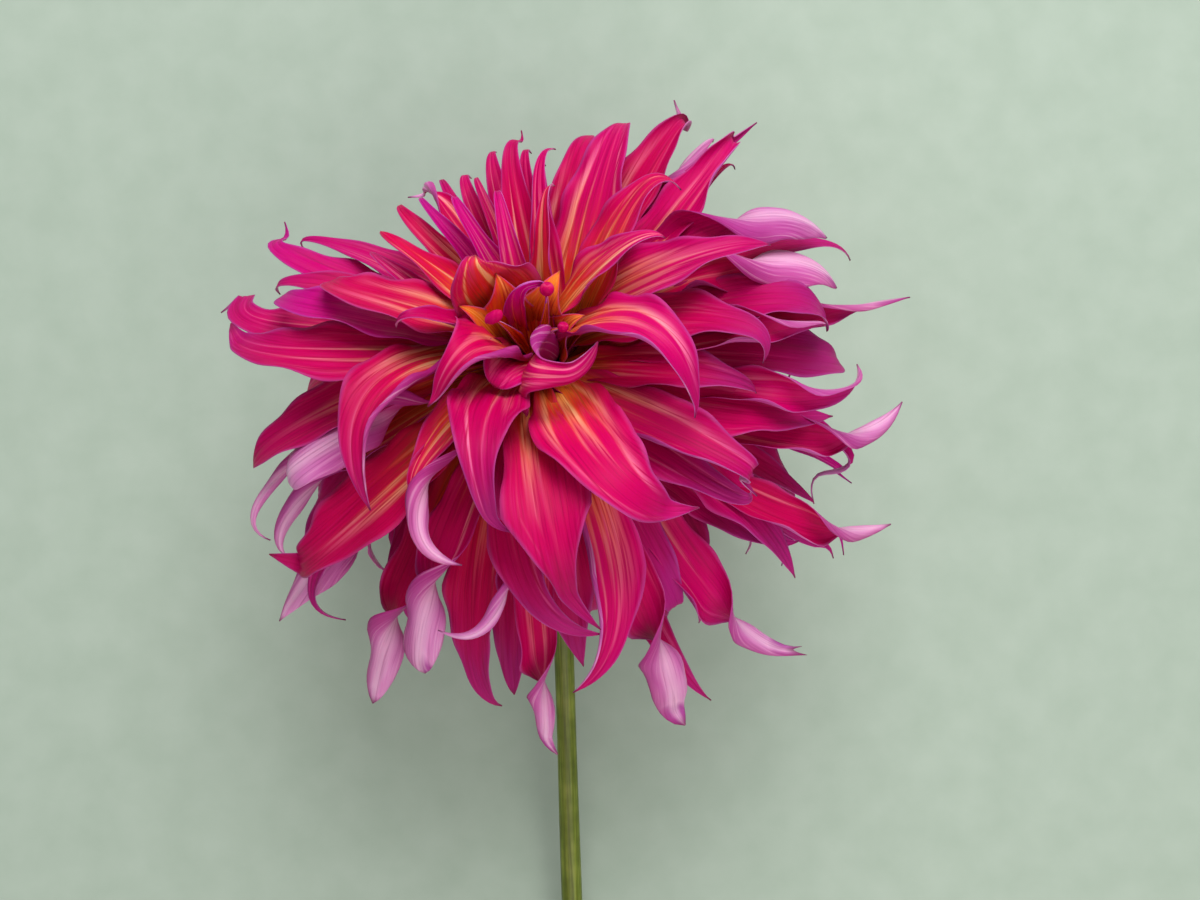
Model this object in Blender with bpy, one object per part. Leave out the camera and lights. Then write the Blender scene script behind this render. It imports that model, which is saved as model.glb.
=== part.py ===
"""A dahlia flower head on its cut stem, lying down as picked.

The florets' points are millimetres from the centre of the receptacle: x to the right, y towards the
top of the head, z up.  The flower lies on the plane z = 0: its back florets and the cut end of its
stem touch it.
"""
import bpy
import bmesh
import numpy as np
from mathutils.bvhtree import BVHTree

MM = 0.001

# The whole flower
RECEPTACLE_CENTRE = np.array([-8.9, 86.1, 97.0])
FLOWER_AXIS = np.array([-0.10, 0.62, 0.778])
RECEPTACLE_RADIUS = 15.0
SEAT_GAP = 0.3                      # between a floret and the receptacle it grows on
CLEARANCE = 0.35                    # left where florets lie against each other

# Ray florets
FLORET_THICKNESS = 0.55
TIP_WIDTH = 1.2
GROUND_LIFT = 0.6                   # height of a floret's middle on the ground, in thicknesses
STATIONS_ALONG = 10
STATIONS_ACROSS = 5
SHOULDER_AT = 0.62                  # curve parameter of the shoulder point
CLAW_LEAD = 0.36                    # how long a floret keeps the direction of its claw
BASE_RATIO = 0.62                   # inclination of the claw over that of the shoulder
LOWEST_BASE = 104.0                 # inclination of the last row of claws, degrees
CLAW_SPACING = 4.6                  # between neighbouring claws
SPREAD_ROUNDS, SPREAD_STEP = 120, 0.35
CURVE_POINTS = 81                   # a midrib is drawn through so many points, then divided evenly
CLAW_FOLD = 75.0                    # how far each half is folded up at the claw, degrees
CLAW_LENGTH = 0.4                   # the fold opens over this part of the length
CLAW_WIDTH = 0.17                   # of the claw, over the greatest width
WIDEST_AT = 0.58                    # where a floret is widest, along its length
RISE_POWER = 1.3                    # of the sine that widens it from the claw
ACUTE_POWER, ACUTE_FULLNESS = 1.1, 0.9          # an acute end: (1 - q)^power (1 + fullness q)
BLUNT_INNER, BLUNT_OUTER = 2.6, 0.62            # a blunt end: (1 - q^inner)^outer
TWIST_SPAN = 0.26                   # a twist takes this part of the length
CURL_POWER = 1.5                    # of the distance from the midrib, in the slope across
CURL_STEPS = 20                     # steps between two columns in which that slope is summed
FLOOR_SOFTNESS = 6.0                # height over which florets bend flat onto the ground

# Florets seen from the front, by region: shoulder, tip, greatest width, shape.
# In the shape, roll and twist turn the blade about its midrib (the twist is centred on `at`), left
# and right are the angles through which its halves curl inwards, and blunt rounds off the end.
FLORETS = {
    "heart": [
        ((-3, 3, 56), (19, 10, 63), 22, dict(left=150, right=60, roll=-20)),
        ((-22, 7, 58), (-31, -7, 62), 24, dict(roll=10)),
        ((-15, 30, 47), (-15, 38, 55), 20, dict(blunt=0.9)),
        ((24, 39, 50), (41, 44, 54), 20, dict()),
    ],
    "front": [
        ((31, 17, 66), (50, -12, 62), 24, dict(right=80)),
        ((20, -23, 74), (50, -40, 66), 28, dict()),
        ((5, -33, 72), (11, -76, 58), 27, dict()),
        ((-15, -13, 70), (-6, -47, 72), 27, dict()),
        ((-47, -3, 60), (-50, -41, 62), 22, dict()),
    ],
    "lower": [
        ((-34, -36, 58), (-22, -58, 60), 18, dict(twist=150, at=0.5)),
        ((-33, -65, 35), (-37, -96, 25), 20, dict(twist=175, at=0.6, blunt=0.7)),
        ((-43, -66, 20), (-57, -109, 5), 20, dict(twist=170, at=0.72, blunt=0.6)),
        ((-5, -55, 50), (22, -81, 44), 18, dict()),
        ((24, -58, 45), (12, -101, 35), 20, dict()),
        ((33, -68, 28), (49, -116, 5), 26, dict(twist=175, at=0.66, blunt=0.4)),
        ((48, -58, 15), (88, -94, -10), 22, dict(twist=160, at=0.8)),
        ((0, -78, 22), (6, -128, 0), 15, dict(twist=170, at=0.75)),
        ((-23, -80, 0), (-14, -113, -15), 22, dict(blunt=0.3)),
    ],
    "left": [
        ((-61, 8, 45), (-99, 18, 32), 26, dict()),
        ((-62, -18, 40), (-81, -32, 28), 20, dict(twist=175, at=0.5, blunt=0.6)),
        ((-69, -10, 32), (-95, -28, 18), 26, dict(blunt=0.3)),
        ((-56, -42, 38), (-87, -62, 18), 27, dict(blunt=0.3)),
        ((-78, 17, 28), (-107, 25, 18), 22, dict()),
        ((-73, 40, 18), (-87, 54, 8), 19, dict()),
        ((-74, -33, 15), (-86, -59, 5), 20, dict(twist=120)),
        ((-66, -50, 8), (-91, -82, -6), 20, dict(twist=170, at=0.68)),
    ],
    "upper": [
        ((-35, 47, 26), (-46, 60, 14), 16, dict()),
        ((-30, 57, 16), (-44, 65, 2), 14, dict(twist=150)),
        ((-7, 63, 30), (-6, 83, 20), 13, dict()),
        ((21, 68, 22), (30, 89, 4), 25, dict(blunt=0.5)),
        ((38, 74, 12), (47, 100, -6), 20, dict(twist=120, at=0.85)),
        ((54, 66, 22), (75, 90, 4), 20, dict(twist=90, at=0.8)),
        ((29, 54, 40), (47, 62, 34), 22, dict()),
    ],
    "right": [
        ((45, 37, 48), (75, 43, 44), 24, dict()),
        ((57, 19, 50), (72, 5, 50), 22, dict()),
        ((50, -19, 54), (70, -36, 48), 22, dict(right=110)),
        ((70, 26, 38), (96, 17, 22), 24, dict(blunt=0.3)),
        ((69, 16, 44), (93, 18, 34), 18, dict(twist=120, at=0.8)),
        ((82, -4, 34), (106, 6, 22), 18, dict(twist=100, at=0.7)),
        ((60, 51, 30), (97, 49, 14), 22, dict(twist=170, at=0.68)),
        ((67, 39, 30), (100, 32, 16), 24, dict(twist=170, at=0.7)),
        ((70, 21, 20), (125, 29, 14), 20, dict(twist=140, at=0.8)),
        ((80, -17, 22), (124, -6, 5), 18, dict(twist=150, at=0.8)),
        ((71, -41, 18), (121, -48, 0), 22, dict(twist=160, at=0.85)),
    ],
}

# Florets of the back, in rows: azimuths about the axis (0 at the stem's side), inclinations of
# shoulder and tip from the axis, reach of the tip
BACK_ROWS = [
    ([62, 118, 180, 242, 298], 98.0, 116.0, 110.0),
    ([35, 92, 150, 210, 268], 124.0, 146.0, 108.0),
]
BACK_WIDTH = 23.0
BACK_SHOULDER_REACH = 72.0

# Outer bracts, bent back behind the florets
BRACT_COUNT = 5
BRACT_WIDTH = 11.0
BRACT_THICKNESS = 0.8
BRACT_BASE = (116.0, 14.2)          # inclination, distance from the centre
BRACT_SHOULDER = (128.0, 26.0)
BRACT_TIP = (148.0, 38.0)
BRACT_LEAD = 4.0                    # how far a bract goes straight out at first
BRACT_FOLD, BRACT_BLUNT = 20.0, 0.5
FIRST_BRACT = 20.0                  # azimuth of the first

# Stem and receptacle, one grown piece
DOME_ANGLES = [10, 32, 52, 72, 90, 104]             # rings of the receptacle, from the flower's axis
NECK = [(8.0, 11.2), (12.0, 7.6), (16.0, 5.4)]      # distance behind the centre, radius
STEM_START = 21.0                                   # where the stem proper begins, behind the centre
STEM_RADIUS = 3.75
STEM_END_RADIUS = 4.2
STEM_END = (13.0, -272.0)                           # x and y of the cut end
STEM_END_DIRECTION = (0.06, -0.97, -0.19)
STEM_HANDLES = (60.0, 100.0)                        # how long it keeps its first and last direction
STEM_SIDES = 12
STEM_RINGS = 16


def unit(vectors):
    """Vectors over their lengths."""
    vectors = np.asarray(vectors, float)
    return vectors / np.linalg.norm(vectors, axis=-1, keepdims=True)


# Directions about the flower's axis: NEAR is azimuth 0, towards the stem's side, SIDE azimuth 90
AXIS = unit(FLOWER_AXIS)
NEAR = -unit(np.array([0.0, 1.0, 0.0]) - AXIS[1] * AXIS)
SIDE = np.cross(AXIS, NEAR)
GROUND = -RECEPTACLE_CENTRE[2]


def direction(azimuth, inclination):
    """cos(i) axis + sin(i) (cos(a) near + sin(a) side), angles in degrees."""
    azimuth = np.radians(np.asarray(azimuth, float))[..., None]
    inclination = np.radians(np.asarray(inclination, float))[..., None]
    around = np.cos(azimuth) * NEAR + np.sin(azimuth) * SIDE
    return np.cos(inclination) * AXIS + np.sin(inclination) * around


def angles(vectors):
    """Azimuth and inclination of vectors, in degrees."""
    vectors = unit(vectors)
    inclination = np.degrees(np.arccos(np.clip(vectors @ AXIS, -1, 1)))
    azimuth = np.degrees(np.arctan2(vectors @ SIDE, vectors @ NEAR))
    return azimuth, inclination


def ease(x):
    """0 below 0, 1 above 1, 3x^2 - 2x^3 between."""
    x = np.clip(x, 0, 1)
    return x * x * (3 - 2 * x)


def spread_claws(shoulders):
    """Directions of the claws on the receptacle: those of the shoulders, drawn in towards the axis,
    then pushed apart until neighbours are CLAW_SPACING apart."""
    azimuth, inclination = angles(shoulders)
    claws = direction(azimuth, np.minimum(BASE_RATIO * inclination, LOWEST_BASE))
    wanted = CLAW_SPACING / RECEPTACLE_RADIUS
    for _ in range(SPREAD_ROUNDS):
        away = claws[:, None] - claws[None]
        distance = np.linalg.norm(away, axis=-1) + np.eye(len(claws))
        push = np.clip(wanted - distance, 0, None) / distance
        claws = unit(claws + SPREAD_STEP * (away * push[..., None]).sum(axis=1))
        azimuth, inclination = angles(claws)
        claws = direction(azimuth, np.minimum(inclination, LOWEST_BASE))
    return claws


def curve_through(start, lead, shoulder, tip, stations):
    """Points at even distances on the cubic Bezier curve that leaves `start` by the vector `lead`,
    passes `shoulder` at parameter SHOULDER_AT and ends at `tip`."""
    t = SHOULDER_AT
    first, second, fourth = (1 - t) ** 3, 3 * (1 - t) ** 2 * t, t ** 3
    bend = (shoulder - first * start - second * (start + lead) - fourth * tip) / (3 * (1 - t) * t * t)
    t = np.linspace(0, 1, CURVE_POINTS)[:, None]
    curve = ((1 - t) ** 3 * start + 3 * (1 - t) ** 2 * t * (start + lead)
             + 3 * (1 - t) * t * t * bend + t ** 3 * tip)
    length = np.r_[0, np.cumsum(np.linalg.norm(np.diff(curve, axis=0), axis=1))]
    at = np.linspace(0, length[-1], stations)
    return np.stack([np.interp(at, length, curve[:, k]) for k in range(3)], axis=-1)


def blade(midrib, across, width, roll=0, twist=0, at=0.7, left=25, right=25, blunt=0.0,
          fold=CLAW_FOLD):
    """Grid of points of a blade: its cross-section runs from the midrib to either side, and turns
    inwards by an angle that grows as a power of the distance."""
    stations = len(midrib)
    u = np.linspace(0, 1, stations)
    tangent = unit(np.gradient(midrib, axis=0))
    sideways = []
    for along in tangent:
        across = unit(across - (across @ along) * along)
        sideways.append(across)
    sideways = np.array(sideways)
    inwards = np.cross(tangent, sideways)
    twisted = twist * ease((u - at) / TWIST_SPAN + 0.5)
    turn = np.radians(roll * ease(2 * u) + twisted)[:, None]
    lateral = np.cos(turn) * sideways + np.sin(turn) * inwards
    rise = np.cos(turn) * inwards - np.sin(turn) * sideways

    opened = np.sin(np.pi / 2 * np.clip(u / WIDEST_AT, 0, 1)) ** RISE_POWER
    rising = CLAW_WIDTH + (1 - CLAW_WIDTH) * opened
    q = np.clip((u - WIDEST_AT) / (1 - WIDEST_AT), 0, 1)
    acute_end = (1 - q) ** ACUTE_POWER * (1 + ACUTE_FULLNESS * q)
    blunt_end = (1 - q ** BLUNT_INNER) ** BLUNT_OUTER
    falling = (1 - blunt) * acute_end + blunt * blunt_end
    half_width = np.maximum(0.5 * width * rising * falling, TIP_WIDTH / 2)

    claw = 1 - ease(u / CLAW_LENGTH)
    steps = CURL_STEPS * (STATIONS_ACROSS - 1) // 2
    columns = slice(CURL_STEPS - 1, None, CURL_STEPS)
    v = np.linspace(0, 1, steps + 1)
    halves = []
    for curl in (left, right):
        slope = np.radians(curl * (1 - claw) + fold * claw)[:, None] * v ** CURL_POWER
        flat = np.cumsum((np.cos(slope[:, 1:]) + np.cos(slope[:, :-1])) / 2 / steps, axis=1)
        high = np.cumsum((np.sin(slope[:, 1:]) + np.sin(slope[:, :-1])) / 2 / steps, axis=1)
        halves.append((flat[:, columns], high[:, columns]))
    middle = np.zeros((stations, 1))
    flat = np.c_[-halves[0][0][:, ::-1], middle, halves[1][0]] * half_width[:, None]
    high = np.c_[halves[0][1][:, ::-1], middle, halves[1][1]] * half_width[:, None]
    grid = midrib[:, None] + flat[..., None] * lateral[:, None] + high[..., None] * rise[:, None]
    return lay_on_ground(grid)


def lay_on_ground(points):
    """Heights near the ground and below it are drawn up to it along an exponential."""
    floor = GROUND + GROUND_LIFT * FLORET_THICKNESS
    over = points[..., 2] - floor - FLOOR_SOFTNESS
    soft = floor + FLOOR_SOFTNESS * np.exp(np.minimum(over, 0) / FLOOR_SOFTNESS)
    points[..., 2] = np.where(over < 0, soft, points[..., 2])
    return points


def sheet_mesh(name, grid, thickness, margin=0.0):
    """Closed mesh of a curved sheet: the grid moved half the thickness to either side, with a rim.
    The margin widens the sheet on all four sides."""
    if margin:
        grid = np.concatenate([2 * grid[:1] - grid[1:2], grid, 2 * grid[-1:] - grid[-2:-1]])
        grid[0] = grid[1] + margin * unit(grid[0] - grid[1])
        grid[-1] = grid[-2] + margin * unit(grid[-1] - grid[-2])
        left = grid[:, :1] + margin * unit(grid[:, :1] - grid[:, 1:2])
        right = grid[:, -1:] + margin * unit(grid[:, -1:] - grid[:, -2:-1])
        grid = np.concatenate([left, grid[:, 1:-1], right], axis=1)
    rows, columns = grid.shape[:2]
    normal = unit(np.cross(np.gradient(grid, axis=0), np.gradient(grid, axis=1)))
    points = np.concatenate([grid + normal * thickness / 2, grid - normal * thickness / 2])
    index = np.arange(rows * columns).reshape(rows, columns)
    corner, ahead, across, beside = index[:-1, :-1], index[1:, :-1], index[1:, 1:], index[:-1, 1:]
    upper = np.concatenate([np.stack([corner, ahead, across], -1).reshape(-1, 3),
                            np.stack([corner, across, beside], -1).reshape(-1, 3)])
    lower = upper[:, ::-1] + rows * columns
    edge = np.r_[index[0], index[1:, -1], index[-1, -2::-1], index[-2:0:-1, 0]]
    after = np.roll(edge, -1)
    rim = np.concatenate([np.stack([edge, after, after + rows * columns], -1),
                          np.stack([edge, after + rows * columns, edge + rows * columns], -1)])
    faces = np.concatenate([upper, lower, rim])
    mesh = bpy.data.meshes.new(name)
    places = (points.reshape(-1, 3) + RECEPTACLE_CENTRE) * MM
    mesh.from_pydata(places.tolist(), [], faces.tolist())
    mesh.update()
    return mesh


def material(name, colour, roughness):
    """A plain material; colour is linear red, green and blue."""
    made = bpy.data.materials.new(name)
    made.use_nodes = True
    shader = made.node_tree.nodes["Principled BSDF"]
    shader.inputs["Base Color"].default_value = (*colour, 1)
    shader.inputs["Roughness"].default_value = roughness
    shader.inputs["Metallic"].default_value = 0.0
    return made


def add_object(name, mesh, look):
    """An object with this mesh, smooth, in this material."""
    made = bpy.data.objects.new(name, mesh)
    bpy.context.scene.collection.objects.link(made)
    mesh.materials.append(look)
    mesh.shade_smooth()
    return made


def faces_tree(mesh):
    """The faces of a mesh in a tree that finds where two meshes cross."""
    corners = [vertex.co for vertex in mesh.vertices]
    return BVHTree.FromPolygons(corners, [tuple(face.vertices) for face in mesh.polygons])


def largest_body(mesh):
    """Keeps the faces that can be reached from each other over edges with two faces, where there are
    most of them, and deletes the others."""
    shape = bmesh.new()
    shape.from_mesh(mesh)
    shape.faces.ensure_lookup_table()
    waiting = [True] * len(shape.faces)
    bodies = []
    for first in shape.faces:
        if not waiting[first.index]:
            continue
        waiting[first.index] = False
        body = []
        reached = [first]
        while reached:
            face = reached.pop()
            body.append(face)
            for edge in face.edges:
                if len(edge.link_faces) != 2:
                    continue
                for neighbour in edge.link_faces:
                    if waiting[neighbour.index]:
                        waiting[neighbour.index] = False
                        reached.append(neighbour)
        bodies.append(body)
    bodies.sort(key=len)
    others = [face for body in bodies[:-1] for face in body]
    bmesh.ops.delete(shape, geom=others, context="FACES")
    shape.to_mesh(mesh)
    shape.free()
    return mesh


def trim(made, look, cutter_mesh):
    """Cuts one object by a cutter, and keeps the largest body that is left."""
    cutter = bpy.data.objects.new("cutter", cutter_mesh)
    bpy.context.scene.collection.objects.link(cutter)
    cut = made.modifiers.new("trim", "BOOLEAN")
    cut.operation = "DIFFERENCE"
    cut.solver = "EXACT"
    cut.use_self = True
    cut.object = cutter
    graph = bpy.context.evaluated_depsgraph_get()
    result = bpy.data.meshes.new_from_object(made.evaluated_get(graph))
    made.modifiers.remove(cut)
    bpy.data.objects.remove(cutter)
    made.data = largest_body(result)
    made.data.materials.clear()
    made.data.materials.append(look)
    made.data.shade_smooth()


def stem_mesh():
    """One body: rings down the domed receptacle and its neck, then along the bent stem."""
    rings = []
    for angle in np.radians(DOME_ANGLES):
        rings.append((RECEPTACLE_RADIUS * np.cos(angle) * AXIS, RECEPTACLE_RADIUS * np.sin(angle)))
    for behind, radius in NECK:
        rings.append((-behind * AXIS, radius))
    last = unit(np.array(STEM_END_DIRECTION))
    end_height = GROUND + STEM_END_RADIUS * np.sqrt(1 - last[2] ** 2)
    start = -STEM_START * AXIS
    end = np.array([*STEM_END, end_height])
    handles = (start - STEM_HANDLES[0] * AXIS, end - STEM_HANDLES[1] * last)
    for t in np.linspace(0, 1, STEM_RINGS):
        place = ((1 - t) ** 3 * start + 3 * (1 - t) ** 2 * t * handles[0]
                 + 3 * (1 - t) * t * t * handles[1] + t ** 3 * end)
        rings.append((place, STEM_RADIUS + (STEM_END_RADIUS - STEM_RADIUS) * t))

    places = np.array([place for place, _ in rings])
    radii = np.array([radius for _, radius in rings])
    along = unit(np.gradient(places, axis=0))
    along[0] = -AXIS
    along[-1] = last
    around = 2 * np.pi * np.arange(STEM_SIDES) / STEM_SIDES
    points = []
    across = SIDE
    for place, radius, forward in zip(places, radii, along):
        across = unit(across - (across @ forward) * forward)
        other = np.cross(forward, across)
        ring = np.cos(around)[:, None] * across + np.sin(around)[:, None] * other
        points.append(place + radius * ring)
    count = len(rings)
    index = np.arange(count * STEM_SIDES).reshape(count, STEM_SIDES)
    after = np.roll(index, -1, axis=1)
    walls = np.stack([index[:-1], after[:-1], after[1:], index[1:]], -1).reshape(-1, 4).tolist()
    faces = walls + [index[0, ::-1].tolist(), index[-1].tolist()]
    mesh = bpy.data.meshes.new("stem_and_receptacle")
    mesh.from_pydata(((np.concatenate(points) + RECEPTACLE_CENTRE) * MM).tolist(), [], faces)
    mesh.update()
    return mesh


def bract_grid(azimuth):
    """A bract leaves the underside of the receptacle and bends back along the stem."""
    base = direction(azimuth, BRACT_BASE[0]) * BRACT_BASE[1]
    shoulder = direction(azimuth, BRACT_SHOULDER[0]) * BRACT_SHOULDER[1]
    tip = direction(azimuth, BRACT_TIP[0]) * BRACT_TIP[1]
    midrib = curve_through(base, BRACT_LEAD * unit(base), shoulder, tip, STATIONS_ALONG)
    around = np.cos(np.radians(azimuth)) * SIDE - np.sin(np.radians(azimuth)) * NEAR
    return blade(midrib, around, BRACT_WIDTH, fold=BRACT_FOLD, blunt=BRACT_BLUNT)


for old in list(bpy.data.objects):
    bpy.data.objects.remove(old)

petal_look = material("ray_floret", (0.60, 0.01, 0.10), 0.5)
stem_look = material("stem_green", (0.14, 0.18, 0.02), 0.55)
bract_look = material("bract_green", (0.10, 0.19, 0.04), 0.6)

# All florets: the visible ones from the table, the back ones by rule
florets = []
for region, rows in FLORETS.items():
    for number, (shoulder, tip, width, shape) in enumerate(rows, 1):
        florets.append((f"floret_{region}_{number}", np.array(shoulder, float),
                        np.array(tip, float), width, shape))
number = 0
for azimuths, shoulder_inclination, tip_inclination, reach in BACK_ROWS:
    for azimuth in azimuths:
        number += 1
        florets.append((f"floret_back_{number}",
                        BACK_SHOULDER_REACH * direction(azimuth, shoulder_inclination),
                        reach * direction(azimuth, tip_inclination), BACK_WIDTH, {}))

add_object("stem_and_receptacle", stem_mesh(), stem_look)
sheets = []
for number in range(BRACT_COUNT):
    name = f"outer_bract_{number + 1}"
    grid = bract_grid(360 * number / BRACT_COUNT + FIRST_BRACT)
    add_object(name, sheet_mesh(name, grid, BRACT_THICKNESS), bract_look)
    sheets.append((grid, BRACT_THICKNESS))

# Each floret is cut where it would pass through one that lies in front of it
claws = spread_claws(np.array([shoulder for _, shoulder, _, _, _ in florets]))
for claw, (name, shoulder, tip, width, shape) in zip(claws, florets):
    start = (RECEPTACLE_RADIUS + SEAT_GAP) * claw
    lead = CLAW_LEAD * np.linalg.norm(shoulder - start) * claw
    midrib = curve_through(start, lead, shoulder, tip, STATIONS_ALONG)
    azimuth = np.radians(angles(shoulder)[0])
    around = np.cos(azimuth) * SIDE - np.sin(azimuth) * NEAR
    grid = blade(midrib, around, width, **shape)
    made = add_object(name, sheet_mesh(name, grid, FLORET_THICKNESS), petal_look)
    for other_grid, thickness in sheets:
        cutter_mesh = sheet_mesh("cutter", other_grid, thickness + 2 * CLEARANCE, CLEARANCE)
        if faces_tree(made.data).overlap(faces_tree(cutter_mesh)):
            trim(made, petal_look, cutter_mesh)
    sheets.append((grid, FLORET_THICKNESS))
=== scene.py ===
"""A dahlia: one cut flower with long twisting florets, lying on its back florets and its stem.

Lengths in the tables are millimetres from the centre of the receptacle, x to the right, y towards
the top of the head, z up.  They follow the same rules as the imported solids.
"""
import bpy
import mathutils
import numpy as np
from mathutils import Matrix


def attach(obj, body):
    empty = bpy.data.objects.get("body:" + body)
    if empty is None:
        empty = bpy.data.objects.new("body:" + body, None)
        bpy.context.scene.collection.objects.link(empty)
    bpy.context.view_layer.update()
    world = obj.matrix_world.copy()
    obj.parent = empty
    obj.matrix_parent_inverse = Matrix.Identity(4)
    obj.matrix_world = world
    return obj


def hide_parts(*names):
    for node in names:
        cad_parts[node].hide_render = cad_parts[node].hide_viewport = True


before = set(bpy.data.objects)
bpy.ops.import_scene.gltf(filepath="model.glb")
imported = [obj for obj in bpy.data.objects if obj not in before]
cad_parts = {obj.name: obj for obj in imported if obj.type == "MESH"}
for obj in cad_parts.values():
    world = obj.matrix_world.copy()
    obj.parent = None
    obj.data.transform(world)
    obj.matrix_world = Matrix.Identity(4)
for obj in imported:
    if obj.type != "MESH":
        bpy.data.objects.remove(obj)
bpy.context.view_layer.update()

# ---- Receptacle and stem -------------------------------------------------------------------------
# One grown piece: a domed green receptacle that narrows to a firm, slightly ribbed stem, cut square
# with a knife.  The cut shows a pale ring of tissue round a hollow pith.
MM = 0.001
CENTRE = np.array([-8.9, 86.1, 97.0])     # of the receptacle, in the frame
GROUND = -CENTRE[2]
DOME_RADIUS = 15.0
STEM_RADIUS, STEM_END_RADIUS = 3.75, 4.2
STEM_START = 21.0
STEM_END = (13.0, -272.0)
STEM_END_DIRECTION = (0.06, -0.97, -0.19)
STEM_HANDLES = (60.0, 100.0)
STEM_SIDES, STEM_RINGS = 48, 150
RIBS, RIB_DEPTH = 9, 0.10
PITH_RADIUS, PITH_DEPTH = 1.3, 3.0


def unit(vectors):
    """Vectors over their lengths."""
    vectors = np.asarray(vectors, float)
    return vectors / np.linalg.norm(vectors, axis=-1, keepdims=True)


AXIS = unit([-0.10, 0.62, 0.778])                                # the way the flower faces
NEAR = -unit(np.array([0.0, 1.0, 0.0]) - AXIS[1] * AXIS)         # azimuth 0, on the stem's side
SIDE = np.cross(AXIS, NEAR)                                      # azimuth 90


def bezier(points, t):
    """Point at t of the cubic Bezier curve with these four control points."""
    t = np.asarray(t, float)[:, None]
    a, b, c, d = points
    return (1 - t) ** 3 * a + 3 * (1 - t) ** 2 * t * b + 3 * (1 - t) * t * t * c + t ** 3 * d


def carried_frames(tangent, first):
    """A sideways unit vector at each station, carried along the path without turning about it."""
    sideways = []
    for along in tangent:
        first = unit(first - (first @ along) * along)
        sideways.append(first)
    return np.array(sideways)


def add_piece(name, points, faces, look, slot, **attributes):
    """A mesh piece from points in mm about the receptacle's centre, smooth, with attributes, each a
    value or a vector per point; `uv` becomes the UV map."""
    mesh = bpy.data.meshes.new(name)
    mesh.from_pydata(((points + CENTRE) * MM).tolist(), [], faces)
    uv = attributes.pop("uv", None)
    if uv is not None:
        corner = np.zeros(len(mesh.loops), int)
        mesh.loops.foreach_get("vertex_index", corner)
        layer = mesh.uv_layers.new(name="UVMap")
        layer.data.foreach_set("uv", uv[corner].astype(np.float32).ravel())
    for key, values in attributes.items():
        values = np.asarray(values, np.float32)
        kind, field = ("FLOAT_VECTOR", "vector") if values.ndim == 2 else ("FLOAT", "value")
        mesh.attributes.new(key, kind, "POINT").data.foreach_set(field, values.ravel())
    mesh.shade_smooth()
    mesh.materials.append(look)
    piece = bpy.data.objects.new(name, mesh)
    bpy.context.scene.collection.objects.link(piece)
    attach(piece, "root")
    return piece


def linear(code):
    """An sRGB hex colour as linear red, green, blue, alpha."""
    srgb = np.array([int(code[i:i + 2], 16) for i in (1, 3, 5)]) / 255
    values = np.where(srgb <= 0.04045, srgb / 12.92, ((srgb + 0.055) / 1.055) ** 2.4)
    return (*values.tolist(), 1.0)


def node(tree, kind, settings, *inputs, out=0, **named):
    """Adds a shader node and gives one of its outputs.  Settings are its properties, and `stops` the
    (position, hex colour) bands of a ramp; inputs come in order, or by name or _number, each a
    value or an output of another node."""
    made = tree.nodes.new("ShaderNode" + kind)
    for key, value in settings.items():
        if key != "stops":
            setattr(made, key, value)
            continue
        while len(made.color_ramp.elements) < len(value):
            made.color_ramp.elements.new(0.5)
        for element, (position, code) in zip(made.color_ramp.elements, value):
            element.position, element.color = position, linear(code)
    for key, value in [*enumerate(inputs), *named.items()]:
        if isinstance(key, str):
            key = int(key[1:]) if key[0] == "_" else key.replace("_", " ")
        if isinstance(value, bpy.types.NodeSocket):
            tree.links.new(value, made.inputs[key])
        else:
            made.inputs[key].default_value = value
    return made.outputs[out]


TIMES, TIMES_PLUS, LESS = ({"operation": word} for word in ("MULTIPLY", "MULTIPLY_ADD", "SUBTRACT"))
SMOOTH = {"interpolation_type": "SMOOTHSTEP"}     # a Map Range from 0 at one value to 1 at the next
COLOURS = {"data_type": "RGBA"}


def surface(name, roughness, **sockets):
    """A new material with this roughness and these values on its Principled shader's sockets; gives
    the material, its node tree and the shader."""
    look = bpy.data.materials.new(name)
    look.use_nodes = True
    shader = look.node_tree.nodes["Principled BSDF"]
    shader.inputs["Roughness"].default_value = roughness
    for key, value in sockets.items():
        shader.inputs[key.replace("_", " ")].default_value = value
    return look, look.node_tree, shader


# Living stem: waxy green skin, flushed brown-red along one side, with fine lengthwise fibres about
# 0.5 mm apart; a soft, broad shine.
stem_skin, tree, shader = surface("waxy_stem_skin", 0.42, Specular_IOR_Level=0.4,
                                  Subsurface_Weight=0.08, Subsurface_Scale=0.002)
place = node(tree, "Attribute", {"attribute_name": "along_and_round"}, out="Vector")
round_place = node(tree, "SeparateXYZ", {}, place, out=2)
drawn_out = node(tree, "VectorMath", TIMES, place, (0.04, 1.6, 1.6))
fibre = node(tree, "TexNoise", {}, Vector=drawn_out, Scale=1.0, Detail=3.0)
blotch = node(tree, "TexNoise", {}, Vector=place, Scale=0.12, Detail=2.0)
pale = node(tree, "Math", TIMES_PLUS, fibre, 0.6, node(tree, "Math", TIMES, blotch, 0.4))
green = node(tree, "ValToRGB", {"stops": [(0.35, "#4F5A0E"), (0.5, "#66731A"), (0.68, "#8C963A")]}, pale)
flush = node(tree, "MapRange", SMOOTH, node(tree, "Math", TIMES_PLUS, blotch, 1.2, round_place), 3.6, 6.0)
skin = node(tree, "Mix", COLOURS, node(tree, "Math", TIMES, flush, 0.55), _6=green,
            _7=linear("#5B3A22"), out=2)
cut = node(tree, "Attribute", {"attribute_name": "cut"}, out="Fac")
skin = node(tree, "Mix", COLOURS, cut, _6=skin, _7=linear("#C9CF9C"), out=2)
tree.links.new(skin, shader.inputs["Base Color"])
bump = node(tree, "Bump", {}, Strength=0.25, Distance=0.0004, Height=fibre)
tree.links.new(bump, shader.inputs["Normal"])

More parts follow.
